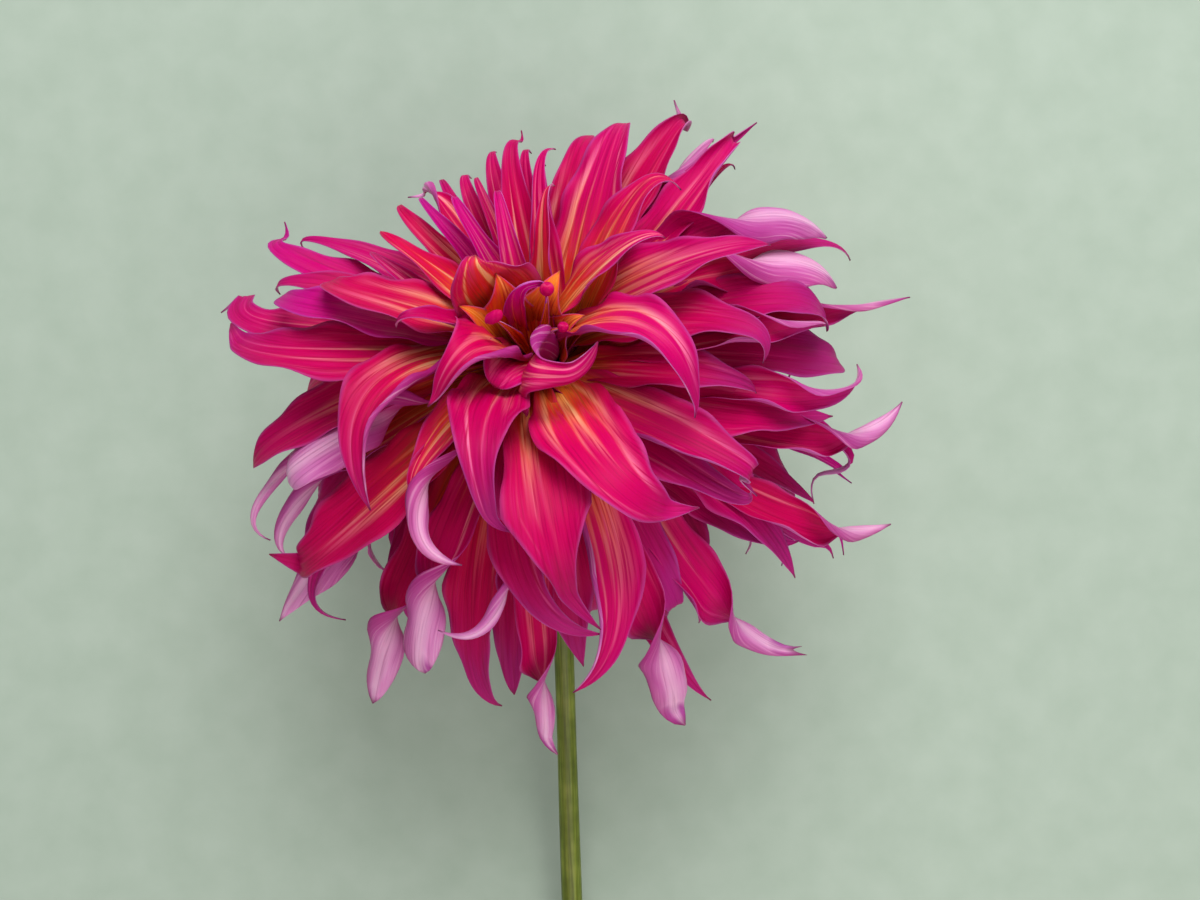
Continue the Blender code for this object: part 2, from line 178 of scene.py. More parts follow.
# Rings: down the dome and its neck, along the stem, then over the cut edge into the pith
dome_angles = np.radians(np.linspace(1, 104, 34))
dome_places = DOME_RADIUS * np.cos(dome_angles)[:, None] * AXIS
dome_radii = DOME_RADIUS * np.sin(dome_angles)
neck_back = np.linspace(5.0, STEM_START - 1.0, 14)
neck_radii = np.interp(neck_back, [3.6, 8.0, 12.0, 16.0, 21.0], [14.5, 11.2, 7.6, 5.4, 3.75])
last = unit(STEM_END_DIRECTION)
end_height = GROUND + STEM_END_RADIUS * np.sqrt(1 - last[2] ** 2)
start, end = -STEM_START * AXIS, np.array([*STEM_END, end_height])
t = np.linspace(0, 1, STEM_RINGS)
stem_line = bezier((start, start - STEM_HANDLES[0] * AXIS, end - STEM_HANDLES[1] * last, end), t)
stem_radii = STEM_RADIUS + (STEM_END_RADIUS - STEM_RADIUS) * t
places = np.concatenate([dome_places, -neck_back[:, None] * AXIS, stem_line])
radii = np.r_[dome_radii, neck_radii, stem_radii]
tangent = unit(np.gradient(places, axis=0))
tangent[:len(dome_radii)] = -AXIS
tangent[-1] = last
cut_radii = np.array([STEM_END_RADIUS - 0.15, STEM_END_RADIUS * 0.6, PITH_RADIUS + 0.2, PITH_RADIUS,
                      0.7 * PITH_RADIUS, 0.02])
cut_depths = np.array([0.0, 0.05, 0.1, 0.9, PITH_DEPTH, PITH_DEPTH])
places = np.concatenate([places, end - cut_depths[:, None] * last])
radii = np.r_[radii, cut_radii]
tangent = np.concatenate([tangent, np.repeat(last[None], len(cut_radii), 0)])
across = carried_frames(tangent, SIDE)
other = np.cross(tangent, across)
round_stem = 2 * np.pi * np.arange(STEM_SIDES) / STEM_SIDES
length = np.r_[0, np.cumsum(np.linalg.norm(np.diff(places, axis=0), axis=1))]
is_stem = np.clip((length - 40) / 20, 0, 1) * (np.arange(len(radii)) < len(radii) - len(cut_radii))
rib = -RIB_DEPTH * is_stem[:, None] * (0.5 + 0.5 * np.cos(RIBS * round_stem))
bulge = -0.22 * is_stem * (0.5 + 0.5 * np.sin(length / 21.0))
swept = (radii + bulge)[:, None] + rib
stem_points = places[:, None] + swept[..., None] * (
    np.cos(round_stem)[None, :, None] * across[:, None] + np.sin(round_stem)[None, :, None]
    * other[:, None])
rings = len(radii)
index = np.arange(rings * STEM_SIDES).reshape(rings, STEM_SIDES)
after = np.roll(index, -1, axis=1)
walls = np.stack([index[:-1], after[:-1], after[1:], index[1:]], -1).reshape(-1, 4).tolist()
turn = np.broadcast_to(np.abs(round_stem - np.pi)[None], (rings, STEM_SIDES))
stem = add_piece(
    "stem_and_receptacle_skin", stem_points.reshape(-1, 3),
    walls + [index[0, ::-1].tolist(), index[-1].tolist()], stem_skin, "stem_green",
    along_and_round=np.stack([np.repeat(length, STEM_SIDES), 4 * np.tile(np.cos(round_stem), rings),
                              4 * np.tile(np.sin(round_stem), rings)], -1),
    cut=np.repeat((np.arange(rings) >= rings - len(cut_radii)).astype(float), STEM_SIDES))
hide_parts("stem_and_receptacle")

# ---- Bracts --------------------------------------------------------------------------------------
# Five fleshy green outer bracts grow from the underside of the receptacle and bend back along the
# stem; inside them a ring of thin, papery inner bracts holds the last florets.
BRACT_COUNT, BRACT_WIDTH = 5, 11.0
BRACT_PATH = ((116.0, 14.2), (128.0, 26.0), (148.0, 38.0))       # base, shoulder, tip
INNER_BRACT_COUNT, INNER_BRACT_WIDTH = 8, 13.0
INNER_BRACT_PATH = ((106.0, 14.8), (110.0, 26.0), (121.0, 36.0))
SHOULDER_AT = 0.62
WIDEST_AT = 0.58
FLOOR_SOFTNESS, FLOOR_GAP = 6.0, 0.35
BRACT_THICKNESS = 0.8
NOISE_STEP = 37.0                   # between the noise of one blade and the next


def direction(azimuth, inclination):
    """cos(i) axis + sin(i) (cos(a) near + sin(a) side), angles in degrees."""
    azimuth = np.radians(np.asarray(azimuth, float))[..., None]
    inclination = np.radians(np.asarray(inclination, float))[..., None]
    around = np.cos(azimuth) * NEAR + np.sin(azimuth) * SIDE
    return np.cos(inclination) * AXIS + np.sin(inclination) * around


def angles(vectors):
    """Azimuth and inclination of vectors, in degrees."""
    vectors = unit(vectors)
    inclination = np.degrees(np.arccos(np.clip(vectors @ AXIS, -1, 1)))
    return np.degrees(np.arctan2(vectors @ SIDE, vectors @ NEAR)), inclination


def ease(x):
    """0 below 0, 1 above 1, 3x^2 - 2x^3 between."""
    x = np.clip(x, 0, 1)
    return x * x * (3 - 2 * x)


def midrib_through(start, lead, shoulder, tip, hook, stations):
    """Points at even distances on the cubic Bezier curve that leaves `start` by `lead`, passes
    `shoulder` and ends at `tip`; from there a quadratic curve may bend on to `hook`."""
    t = SHOULDER_AT
    first, second, fourth = (1 - t) ** 3, 3 * (1 - t) ** 2 * t, t ** 3
    bend = (shoulder - first * start - second * (start + lead) - fourth * tip) / (3 * (1 - t) * t * t)
    curve = bezier((start, start + lead, bend, tip), np.linspace(0, 1, 161))
    if hook is not None:
        s = np.linspace(0, 1, 41)[1:, None]
        on = tip + 0.55 * np.linalg.norm(hook - tip) * unit(tip - bend)
        curve = np.concatenate([curve, (1 - s) ** 2 * tip + 2 * (1 - s) * s * on + s * s * hook])
    length = np.r_[0, np.cumsum(np.linalg.norm(np.diff(curve, axis=0), axis=1))]
    at = np.linspace(0, length[-1], stations)
    return np.stack([np.interp(at, length, curve[:, k]) for k in range(3)], axis=-1), length[-1]


def blade(midrib, across, width, columns, roll=0, twist=0, at=0.7, span=0.26, left=25, right=25,
          hem_left=0, hem_right=0, blunt=0.0, fold=75, widest=WIDEST_AT, tail=0.25, groove=0.0,
          ripple=0.0, phase=0.0, channel=0.0, fork=0.0):
    """Grid of points of a blade and its half width along it.  The cross-section runs from the midrib
    to either side and turns inwards by curl v^1.5 + hem ease((v - 0.6) / 0.4) at v of the way; where
    the blade twists, it is also folded into a channel.  Two grooves run beside the midrib, the
    margins ripple by a sine of the distance along, and a forked end runs on at the margins."""
    stations = len(midrib)
    u = np.linspace(0, 1, stations)
    tangent = unit(np.gradient(midrib, axis=0))
    sideways = carried_frames(tangent, across)
    inwards = np.cross(tangent, sideways)
    turn = roll * ease(2 * u) + twist * ease((u - at + span / 2) / span)
    turn = np.radians(turn)[:, None]
    lateral = np.cos(turn) * sideways + np.sin(turn) * inwards
    rise = np.cos(turn) * inwards - np.sin(turn) * sideways

    rising = 0.17 + 0.83 * np.sin(np.pi / 2 * np.clip(u / widest, 0, 1)) ** 1.3
    q = np.clip((u - widest) / (1 - widest), 0, 1)
    acute = (1 - q) * (1 + 0.9 * q) * (1 - tail * np.sin(np.pi * q)) * (1 - 0.45 * q * q)
    falling = (1 - blunt) * acute + blunt * (1 - q ** 2.6) ** 0.62
    half_width = np.maximum(0.5 * width * rising * falling, 0.22 + 0.35 * fork)

    claw = 1 - ease(u / 0.4)
    fine = 4
    v = np.linspace(0, 1, fine * (columns // 2) + 1)
    halves = []
    for curl, hem in ((left, hem_left), (right, hem_right)):
        folded = channel * np.exp(-((u - at) / (0.7 * span)) ** 2) * (twist != 0)
        slope = (curl * (1 - claw) + fold * claw + folded)[:, None] * v ** 1.5
        slope = np.radians(slope + (hem * (1 - claw))[:, None] * ease((v - 0.6) / 0.4))
        flat = np.cumsum((np.cos(slope[:, 1:]) + np.cos(slope[:, :-1])) / 2 * v[1], axis=1)
        high = np.cumsum((np.sin(slope[:, 1:]) + np.sin(slope[:, :-1])) / 2 * v[1], axis=1)
        halves.append((flat[:, fine - 1::fine], high[:, fine - 1::fine]))
    middle = np.zeros((stations, 1))
    flat = np.c_[-halves[0][0][:, ::-1], middle, halves[1][0]] * half_width[:, None]
    high = np.c_[halves[0][1][:, ::-1], middle, halves[1][1]] * half_width[:, None]
    v = np.linspace(-1, 1, columns)
    distance = u * np.linalg.norm(np.diff(midrib, axis=0), axis=1).sum()
    body = np.sin(np.pi * np.clip(u, 0.0, 1.0)) ** 0.7
    high = high - groove * body[:, None] * np.exp(-((np.abs(v) - 0.36) / 0.14) ** 2)
    wave = np.sin(distance[:, None] / 3.1 + phase + np.sign(v) * 1.3)
    high = high + ripple * body[:, None] * v ** 4 * wave * np.minimum(half_width, 8)[:, None] / 8
    sway = np.sin(distance[:, None] / 7.3 + 2.0 * phase + np.sign(v) * 0.9)
    flat = flat * (1 + 0.075 * ripple * body[:, None] * v * v * sway)
    grid = midrib[:, None] + flat[..., None] * lateral[:, None] + high[..., None] * rise[:, None]
    horns = fork * ease((u - 0.93) / 0.07)[:, None] * (np.abs(v + 0.15) ** 1.5 - 0.3)
    grid = grid + horns[..., None] * tangent[:, None]
    floor = GROUND + FLOOR_GAP
    over = grid[..., 2] - floor - FLOOR_SOFTNESS
    soft = floor + FLOOR_SOFTNESS * np.exp(np.minimum(over, 0) / FLOOR_SOFTNESS)
    grid[..., 2] = np.where(over < 0, soft, grid[..., 2])
    return grid, half_width


def leaf(name, grid, half_width, length, thickness, look, slot, seed, tone, striping=0.0):
    """A closed leaf or petal: the grid moved half its thickness to either side, with a rim.  The
    thickness falls off to the margins as 1 - v^2 and by half to the tip.  Its attributes hold the
    place on the blade in mm, the place from claw to tip and edge to edge with the side, and tones."""
    rows, columns = grid.shape[:2]
    u, v = np.meshgrid(np.linspace(0, 1, rows), np.linspace(-1, 1, columns), indexing="ij")
    half = thickness * (0.16 + 0.34 * (1 - v * v)) * (1 - 0.5 * u)
    normal = unit(np.cross(np.gradient(grid, axis=0), np.gradient(grid, axis=1)))
    lift = normal * half[..., None]
    points = np.concatenate([(grid + lift).reshape(-1, 3), (grid - lift).reshape(-1, 3)])
    index = np.arange(rows * columns).reshape(rows, columns)
    upper = np.stack([index[:-1, :-1], index[1:, :-1], index[1:, 1:], index[:-1, 1:]], -1)
    lower = upper.reshape(-1, 4)[:, ::-1] + rows * columns
    edge = np.r_[index[0], index[1:, -1], index[-1, -2::-1], index[-2:0:-1, 0]]
    after = np.roll(edge, -1)
    rim = np.stack([edge, after, after + rows * columns, edge + rows * columns], -1)
    faces = np.concatenate([upper.reshape(-1, 4), lower, rim]).tolist()
    across = (v * half_width[:, None]).ravel()
    on_blade = np.stack([across, (u * length).ravel(), np.full(across.size, NOISE_STEP * seed)], -1)
    side = np.repeat([0.0, 1.0], across.size)
    place = np.c_[np.tile(u.ravel(), 2), np.tile(v.ravel(), 2), side]
    flat_map = np.c_[(v.ravel() + 1) / 4.2 + 0.01, u.ravel() * 0.96 + 0.02]
    flat_map = np.concatenate([flat_map, flat_map + [0.5, 0.0]])
    return add_piece(name, points, faces, look, slot, uv=flat_map, on_blade=np.tile(on_blade, (2, 1)),
                     place=place, tone=np.tile(tone, (2 * across.size, 1)),
                     striping=np.full(2 * across.size, striping))


def lengthwise(tree, across_scale, along_scale, detail=2.0):
    """Noise drawn out along a blade: scales are per mm across and along it."""
    place = node(tree, "Attribute", {"attribute_name": "on_blade"}, out="Vector")
    drawn_out = node(tree, "VectorMath", TIMES, place, (across_scale, along_scale, 1.0))
    return node(tree, "TexNoise", {}, Vector=drawn_out, Scale=1.0, Detail=detail)


# Fleshy bract: leaf green, paler at the base, with parallel veins about 1 mm apart and a dull bloom.
bract_skin, tree, shader = surface("fleshy_green_bract", 0.55, Specular_IOR_Level=0.35,
                                   Subsurface_Weight=0.1, Subsurface_Scale=0.001)
veins = lengthwise(tree, 1.0, 0.05)
along = node(tree, "SeparateXYZ", {}, node(tree, "Attribute", {"attribute_name": "place"}, out="Vector"))
depth = node(tree, "Math", TIMES_PLUS, along, 0.35, node(tree, "Math", TIMES, veins, 0.9))
green = node(tree, "ValToRGB", {"stops": [(0.3, "#93A257"), (0.5, "#64802F"), (0.75, "#3F5A1E"),
                                          (0.95, "#55401F")]}, depth)
tree.links.new(green, shader.inputs["Base Color"])
bump = node(tree, "Bump", {}, Strength=0.5, Distance=0.0003, Height=veins)
tree.links.new(bump, shader.inputs["Normal"])

# Papery inner bract: thin, straw-green, browning at the tip, with fine veins.
papery_skin, tree, shader = surface("papery_inner_bract", 0.5, Subsurface_Weight=0.2,
                                    Subsurface_Scale=0.001)
veins = lengthwise(tree, 1.4, 0.05)
along = node(tree, "SeparateXYZ", {}, node(tree, "Attribute", {"attribute_name": "place"}, out="Vector"))
depth = node(tree, "Math", TIMES_PLUS, along, 0.5, node(tree, "Math", TIMES, veins, 0.6))
straw = node(tree, "ValToRGB", {"stops": [(0.3, "#A9AF6B"), (0.55, "#C2B67A"), (0.85, "#8F6A3E")]},
             depth)
tree.links.new(straw, shader.inputs["Base Color"])
bump = node(tree, "Bump", {}, Strength=0.4, Distance=0.0002, Height=veins)
tree.links.new(bump, shader.inputs["Normal"])


def bract(name, path, azimuth, width, look, seed, **shape):
    """A bract from the points (inclination, distance) of its path, at one azimuth."""
    base, shoulder, tip = (direction(azimuth, inclination) * reach for inclination, reach in path)
    midrib, length = midrib_through(base, 4.0 * unit(base), shoulder, tip, None, 28)
    around = np.cos(np.radians(azimuth)) * SIDE - np.sin(np.radians(azimuth)) * NEAR
    grid, half_width = blade(midrib, around, width, 13, fold=20, **shape)
    return leaf(name, grid, half_width, length, BRACT_THICKNESS, look, "bract_green", seed,
                (0.0, 0.0, 0.0))


for number in range(BRACT_COUNT):
    made = bract(f"bract_outer_{number + 1}", BRACT_PATH, 360 * number / BRACT_COUNT + 20,
                 BRACT_WIDTH, bract_skin, number, blunt=0.5, groove=0.3)
    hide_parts(f"outer_bract_{number + 1}")
for number in range(INNER_BRACT_COUNT):
    bract(f"bract_inner_{number + 1}", INNER_BRACT_PATH, 360 * number / INNER_BRACT_COUNT,
          INNER_BRACT_WIDTH, papery_skin, 20 + number, blunt=0.6, groove=0.2)

# ---- Back florets --------------------------------------------------------------------------------
# Ray florets: soft petals, each growing from the receptacle by a narrow folded claw.  The oldest
# rows bend back round the stem; the lowest of them carry the head on the floor.  Where the CAD has
# only two rows, more florets grow between them.
CLAW_LEAD = 0.36                    # how long a floret keeps the direction of its claw
BASE_RATIO = 0.62                   # inclination of the claw over that of the shoulder
LOWEST_BASE = 106.0
CLAW_SPACING = 3.7
BACK_ROWS = [                       # azimuths, inclination of shoulder and tip, reach, first number
    ([62, 118, 180, 242, 298], 98.0, 116.0, 110.0, 1),
    ([35, 92, 150, 210, 268], 124.0, 146.0, 108.0, 6),
]
BETWEEN_ROWS = [
    ([80, 100, 136, 162, 198, 224, 262, 280], 103.0, 122.0, 104.0),
    ([48, 76, 120, 180, 239, 292, 318], 116.0, 137.0, 104.0),
    ([20, 50, 80, 108, 134, 165, 195, 226, 252, 280, 310, 340], 138.0, 160.0, 92.0),
]
BACK_WIDTH, BACK_SHOULDER_REACH = 23.0, 72.0
TIP_LIFT = 3.0                      # of the lowest tips of the rows made by rule, over the floor
PETAL_THICKNESS = 1.0
grown_claws = np.zeros((0, 3))
floret_count = 0

# Petal: a thin, moist, translucent skin over spongy tissue, satin to the light.  The face is
# magenta, orange at the claw with cream bands that run out along it, mauve towards the tip; the
# reverse is lilac with a painted highlight down the midrib.  Veins are about 0.8 mm apart.
petal_skin, tree, shader = surface(
    "satin_petal", 0.46, Specular_IOR_Level=0.06, Subsurface_Weight=0.12, Subsurface_Scale=0.0012)
shader.inputs["Subsurface Radius"].default_value = (1.0, 0.35, 0.45)
place = node(tree, "Attribute", {"attribute_name": "place"}, out="Vector")
along, across, reverse = node(tree, "SeparateXYZ", {}, place).node.outputs
tone = node(tree, "Attribute", {"attribute_name": "tone"}, out="Vector")
shrink, value, hue = node(tree, "SeparateXYZ", {}, tone).node.outputs
striping = node(tree, "Attribute", {"attribute_name": "striping"}, out="Fac")
edge = node(tree, "Math", {"operation": "ABSOLUTE"}, across)
veins = lengthwise(tree, 1.25, 0.035)
broad = lengthwise(tree, 0.16, 0.05, 1.0)
streaks = lengthwise(tree, 0.22, 0.006, 0.0)
own = node(tree, "SeparateXYZ", {}, node(tree, "Attribute", {"attribute_name": "on_blade"}, out=1), out=2)
spread = node(tree, "CombineXYZ", {}, node(tree, "Math", TIMES, across, 3.4),
              node(tree, "Math", TIMES, along, 0.7), own)
comb = node(tree, "TexNoise", {}, Vector=spread, Scale=1.0, Detail=1.5)

# Bands: soft stripes across the blade, of uneven spacing and strength, that die out along it
reach = node(tree, "Math", TIMES_PLUS, node(tree, "Math", LESS, streaks, 0.5), 1.3, along)
fades = node(tree, "MapRange", SMOOTH, node(tree, "Math", TIMES, reach, shrink), 0.90, 0.26)
inside = node(tree, "Math", TIMES, node(tree, "Math", TIMES, fades, striping),
              node(tree, "MapRange", SMOOTH, edge, 0.85, 0.45))
band = node(tree, "Math", TIMES, node(tree, "MapRange", SMOOTH, comb, 0.47, 0.60), inside)
band = node(tree, "Math", TIMES, band, node(tree, "MapRange", SMOOTH, veins, 0.26, 0.60))
halo = node(tree, "Math", TIMES, node(tree, "MapRange", SMOOTH, comb, 0.38, 0.58), inside)

# Orange flame at the claw, drawn out along the bands and thrown back at the margins
flame_at = node(tree, "Math", TIMES_PLUS, node(tree, "Math", TIMES, edge, edge), 0.15,
                node(tree, "Math", TIMES, along, shrink))
flame_at = node(tree, "Math", TIMES_PLUS, node(tree, "Math", LESS, veins, 0.5), 0.24, flame_at)
flame_at = node(tree, "Math", TIMES_PLUS, halo, -0.12, flame_at)
face = node(tree, "ValToRGB", {"stops": [
    (0.06, "#C25A00"), (0.18, "#F08A22"), (0.30, "#EC5A2C"), (0.40, "#DC1A3A"), (0.52, "#CC0046"),
    (0.80, "#C0004E"), (0.94, "#B80656"), (1.0, "#AE1462")]}, flame_at)
cream = node(tree, "ValToRGB", {"stops": [
    (0.10, "#FFB040"), (0.28, "#FFCC90"), (0.44, "#FFBE9C"), (0.62, "#FF8EA8"), (0.8, "#E468A8")]},
    flame_at)
outwards = node(tree, "Math", TIMES, along, shrink)
tips = node(tree, "Math", TIMES, node(tree, "MapRange", SMOOTH, outwards, 0.68, 1.25), 0.6)
face = node(tree, "Mix", COLOURS, tips, _6=face, _7=linear("#AC2678"), out=2)
face = node(tree, "Mix", COLOURS, node(tree, "Math", TIMES, halo, 0.35), _6=face,
            _7=linear("#E81A42"), out=2)
face = node(tree, "Mix", COLOURS, node(tree, "Math", TIMES, band, 0.95), _6=face, _7=cream, out=2)
dark = node(tree, "Math", TIMES, node(tree, "MapRange", SMOOTH, veins, 0.52, 0.30), 0.42)
face = node(tree, "Mix", COLOURS, dark, _6=face, _7=linear("#8A0038"), out=2)
light = node(tree, "Math", TIMES, node(tree, "MapRange", SMOOTH, veins, 0.55, 0.75), 0.24)
face = node(tree, "Mix", COLOURS, light, _6=face, _7=linear("#E01672"), out=2)
hem = node(tree, "Math", TIMES, node(tree, "MapRange", SMOOTH, edge, 0.84, 1.0),
           node(tree, "MapRange", SMOOTH, along, 0.3, 0.8))
face = node(tree, "Mix", COLOURS, node(tree, "Math", TIMES, hem, 0.5), _6=face,
            _7=linear("#B0509C"), out=2)

# Reverse: lilac, pinker towards the claw and along one margin, with a painted highlight down the midrib,
# and darker veins
depth = node(tree, "Math", TIMES_PLUS, node(tree, "Math", LESS, broad, 0.5), 0.3, along)
back = node(tree, "ValToRGB", {"stops": [
    (0.15, "#A0104A"), (0.40, "#AE1C68"), (0.60, "#B83E8A"), (0.80, "#CC68AA"), (0.94, "#E092C4"),
    (1.0, "#B04C98")]}, depth)
blush = node(tree, "Math", TIMES, node(tree, "MapRange", SMOOTH, across, 0.1, 0.95), 0.6)
back = node(tree, "Mix", COLOURS, blush, _6=back, _7=linear("#A61C70"), out=2)
# Painted highlight: a pale pink band down the middle of the reverse, strongest part way along the blade
painted_midrib_highlight = node(tree, "Math", TIMES, node(tree, "MapRange", SMOOTH, edge, 0.5, 0.0),
             node(tree, "MapRange", SMOOTH, depth, 0.35, 0.75))
back = node(tree, "Mix", COLOURS, node(tree, "Math", TIMES, painted_midrib_highlight, 0.45), _6=back,
            _7=linear("#F9CDE2"), out=2)
dark = node(tree, "Math", TIMES, node(tree, "MapRange", SMOOTH, veins, 0.50, 0.30), 0.36)
back = node(tree, "Mix", COLOURS, dark, _6=back, _7=linear("#8E1A62"), out=2)
light = node(tree, "Math", TIMES, node(tree, "MapRange", SMOOTH, veins, 0.54, 0.72), 0.30)
back = node(tree, "Mix", COLOURS, light, _6=back, _7=linear("#F8BEDC"), out=2)
both = node(tree, "Mix", COLOURS, node(tree, "MapRange", SMOOTH, reverse, 0.35, 0.65), _6=face,
            _7=back, out=2)
dry = node(tree, "Math", TIMES, node(tree, "MapRange", SMOOTH, along, 0.965, 1.0), 0.6)
both = node(tree, "Mix", COLOURS, dry, _6=both, _7=linear("#5E2130"), out=2)
toned = node(tree, "HueSaturation", {}, Hue=hue, Value=value, Color=both)
tree.links.new(toned, shader.inputs["Base Color"])
rough = node(tree, "MapRange", {}, veins, _3=0.38, _4=0.54)
tree.links.new(rough, shader.inputs["Roughness"])
relief = node(tree, "Math", TIMES_PLUS, broad, 0.8, veins)
bump = node(tree, "Bump", {}, Strength=0.55, Distance=0.0004, Height=relief)
tree.links.new(bump, shader.inputs["Normal"])


def claw_places(shoulders, taken):
    """Directions of the claws on the receptacle: those of the shoulders, drawn in towards the axis,
    then pushed apart from each other and from those taken until CLAW_SPACING apart."""
    azimuth, inclination = angles(shoulders)
    claws = direction(azimuth, np.minimum(BASE_RATIO * inclination, LOWEST_BASE))
    for _ in range(80):
        away = claws[:, None] - np.concatenate([claws, taken])[None]
        distance = np.linalg.norm(away, axis=-1)
        distance[distance == 0] = 1
        push = np.clip(CLAW_SPACING / DOME_RADIUS - distance, 0, None) / distance
        claws = unit(claws + 0.35 * (away * push[..., None]).sum(axis=1))
        azimuth, inclination = angles(claws)
        claws = direction(azimuth, np.minimum(inclination, LOWEST_BASE))
    return claws


def grow(group, rows, nodes=0, stations=56, columns=17, flame=1.0, bands=1.0):
    """Ray florets from rows of shoulder, tip, greatest width and shape; the first `nodes` of them
    stand for the CAD nodes of their group and number."""
    global grown_claws, floret_count
    claws = claw_places(np.array([row[0] for row in rows], float), grown_claws)
    grown_claws = np.concatenate([grown_claws, claws])
    for number, (claw, (shoulder, tip, width, shape)) in enumerate(zip(claws, rows), 1):
        floret_count += 1
        chance = np.random.default_rng(floret_count)
        shape = dict(dict(groove=0.45, ripple=1.25, phase=chance.uniform(0, 6), channel=95), **shape)
        glow = shape.pop("flame", flame)
        tint = shape.pop("tint", 0.0)
        striping = shape.pop("bands", bands) * chance.uniform(0.75, 1.1)
        shoulder, tip = np.array(shoulder, float), np.array(tip, float)
        hook = shape.pop("hook", None)
        start = (DOME_RADIUS - 0.5) * claw
        lead = CLAW_LEAD * np.linalg.norm(shoulder - start) * claw
        hook = None if hook is None else np.array(hook, float)
        midrib, length = midrib_through(start, lead, shoulder, tip, hook, stations)
        azimuth = np.radians(shape.pop("azimuth", angles(shoulder)[0]))
        around = np.cos(azimuth) * SIDE - np.sin(azimuth) * NEAR
        grid, half_width = blade(midrib, around, width, columns, **shape)
        tone = (1 / (glow * chance.uniform(0.8, 1.08)), chance.uniform(0.90, 1.05),
                0.492 - tint + chance.uniform(-0.008, 0.008))
        floret = leaf(f"ray_{group}_{number}", grid, half_width, length, PETAL_THICKNESS, petal_skin,
                      "ray_floret", floret_count, tone, striping)
        if number <= nodes:
            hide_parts(f"floret_{group}_{number}")


def back_row(azimuths, shoulder_inclination, tip_inclination, reach):
    """Rows of back florets by rule; their tips stay just above the floor."""
    rows = []
    for azimuth in azimuths:
        tip = reach * direction(azimuth, tip_inclination)
        tip = tip * min(1.0, (GROUND + TIP_LIFT) / min(tip[2], -1.0))
        rows.append((BACK_SHOULDER_REACH * direction(azimuth, shoulder_inclination), tip, BACK_WIDTH,
                     {}))
    return rows


packed_rows = []
for azimuths, shoulder_inclination, tip_inclination, reach, first in BACK_ROWS:
    for azimuth in azimuths:
        packed_rows.append((BACK_SHOULDER_REACH * direction(azimuth, shoulder_inclination),
                            reach * direction(azimuth, tip_inclination), BACK_WIDTH, {}))
grow("back", packed_rows, nodes=10, bands=0.4)
between_rows = []
for azimuths, shoulder_inclination, tip_inclination, reach in BETWEEN_ROWS:
    between_rows += back_row(azimuths, shoulder_inclination, tip_inclination, reach)
grow("back_between", between_rows, stations=40, columns=11, bands=0.4)

# ---- Lower florets -------------------------------------------------------------------------------
# Ray florets of the same petal at the side of the head towards the stem: narrow, hanging over each
# other, most of them twisted near the tip so that they show their lilac reverse.
grow("lower", [
    ((-34, -36, 58), (-22, -58, 60), 17, dict(twist=150, at=0.64)),
    ((-33, -65, 35), (-37, -96, 25), 21, dict(twist=175, at=0.7, blunt=0.6, widest=0.76)),
    ((-43, -66, 20), (-57, -109, 5), 21, dict(twist=170, at=0.74, blunt=0.4, widest=0.78)),
    ((-5, -55, 50), (22, -81, 44), 18, dict()),
    ((24, -58, 45), (12, -101, 35), 21, dict(left=60, hem_left=110, widest=0.62, flame=1.15,
                                            bands=0.6)),
    ((33, -68, 28), (46, -110, 5), 21, dict(twist=175, at=0.69, blunt=0.55, widest=0.78,
                                           channel=95, hook=(50, -117, 2))),
    ((48, -58, 15), (83, -92, -10), 21, dict(twist=160, at=0.74, widest=0.7, blunt=0.2,
                                           hook=(90, -93, -12), fork=4.0)),
    ((0, -78, 22), (2, -121, 0), 17, dict(twist=170, at=0.74, widest=0.7, blunt=0.25,
                                         hook=(6, -128, -3))),
    ((-23, -80, 0), (-14, -113, -15), 22, dict(blunt=0.3)),
    ((45, -48, 0), (53, -60, -12), 18, dict(blunt=0.8)),
    ((35, -75, 5), (60, -111, -15), 16, dict()),
    ((9, -68, 12), (15, -97, 0), 25, dict()),
    ((-8, -64, 45), (-31, -80, 42), 14, dict(twist=150)),
    ((-10, -78, -6), (-10, -110, -22), 18, dict(blunt=0.5)),
    ((-45, -52, 10), (-50, -74, 4), 18, dict()),
    ((-72, -56, 8), (-67, -81, 0), 14, dict()),
    ((38, -58, 22), (44, -73, 8), 18, dict(blunt=0.5)),
], nodes=9, flame=1.0, bands=0.6)

# ---- Left florets --------------------------------------------------------------------------------
# Ray florets at the left of the head: broad and opened flat, with a wide orange flame.  Each grows
# from its own claw on the receptacle, and some fold over so that the reverse shows.
grow("left", [
    ((-61, 8, 45), (-96, 13, 34), 26, dict(blunt=0.35, hook=(-99.5, 19, 32))),
    ((-62, -18, 40), (-81, -32, 28), 20, dict(twist=175, at=0.5, blunt=0.75, widest=0.7)),
    ((-69, -10, 32), (-95, -28, 18), 26, dict(blunt=0.3)),
    ((-56, -42, 38), (-79, -60, 20), 27, dict(blunt=0.1, flame=1.25, hook=(-89, -57, 22))),
    ((-78, 17, 28), (-98, 28, 18), 22, dict(hook=(-107.3, 24, 12))),
    ((-73, 38, 18), (-87, 49, 9), 17, dict(tint=0.02, hook=(-87, 55.5, 6))),
    ((-74, -33, 15), (-86, -59, 5), 20, dict(twist=120)),
    ((-66, -50, 8), (-91, -82, -6), 23, dict(twist=170, at=0.6, widest=0.72)),
    ((-59, 22, 44), (-83, 28, 30), 21, dict(blunt=0.5, tint=0.02)),
    ((-47, 25, 50), (-65, 32, 40), 24, dict(blunt=0.4, flame=1.5)),
    ((-63, 45, 15), (-80, 46, 8), 12, dict(tint=0.02)),
    ((-68, 32, 25), (-87, 30, 14), 16, dict()),
    ((-84, -28, 15), (-91, -53, 10), 12, dict(twist=160)),
], nodes=8, flame=1.2, bands=0.85)

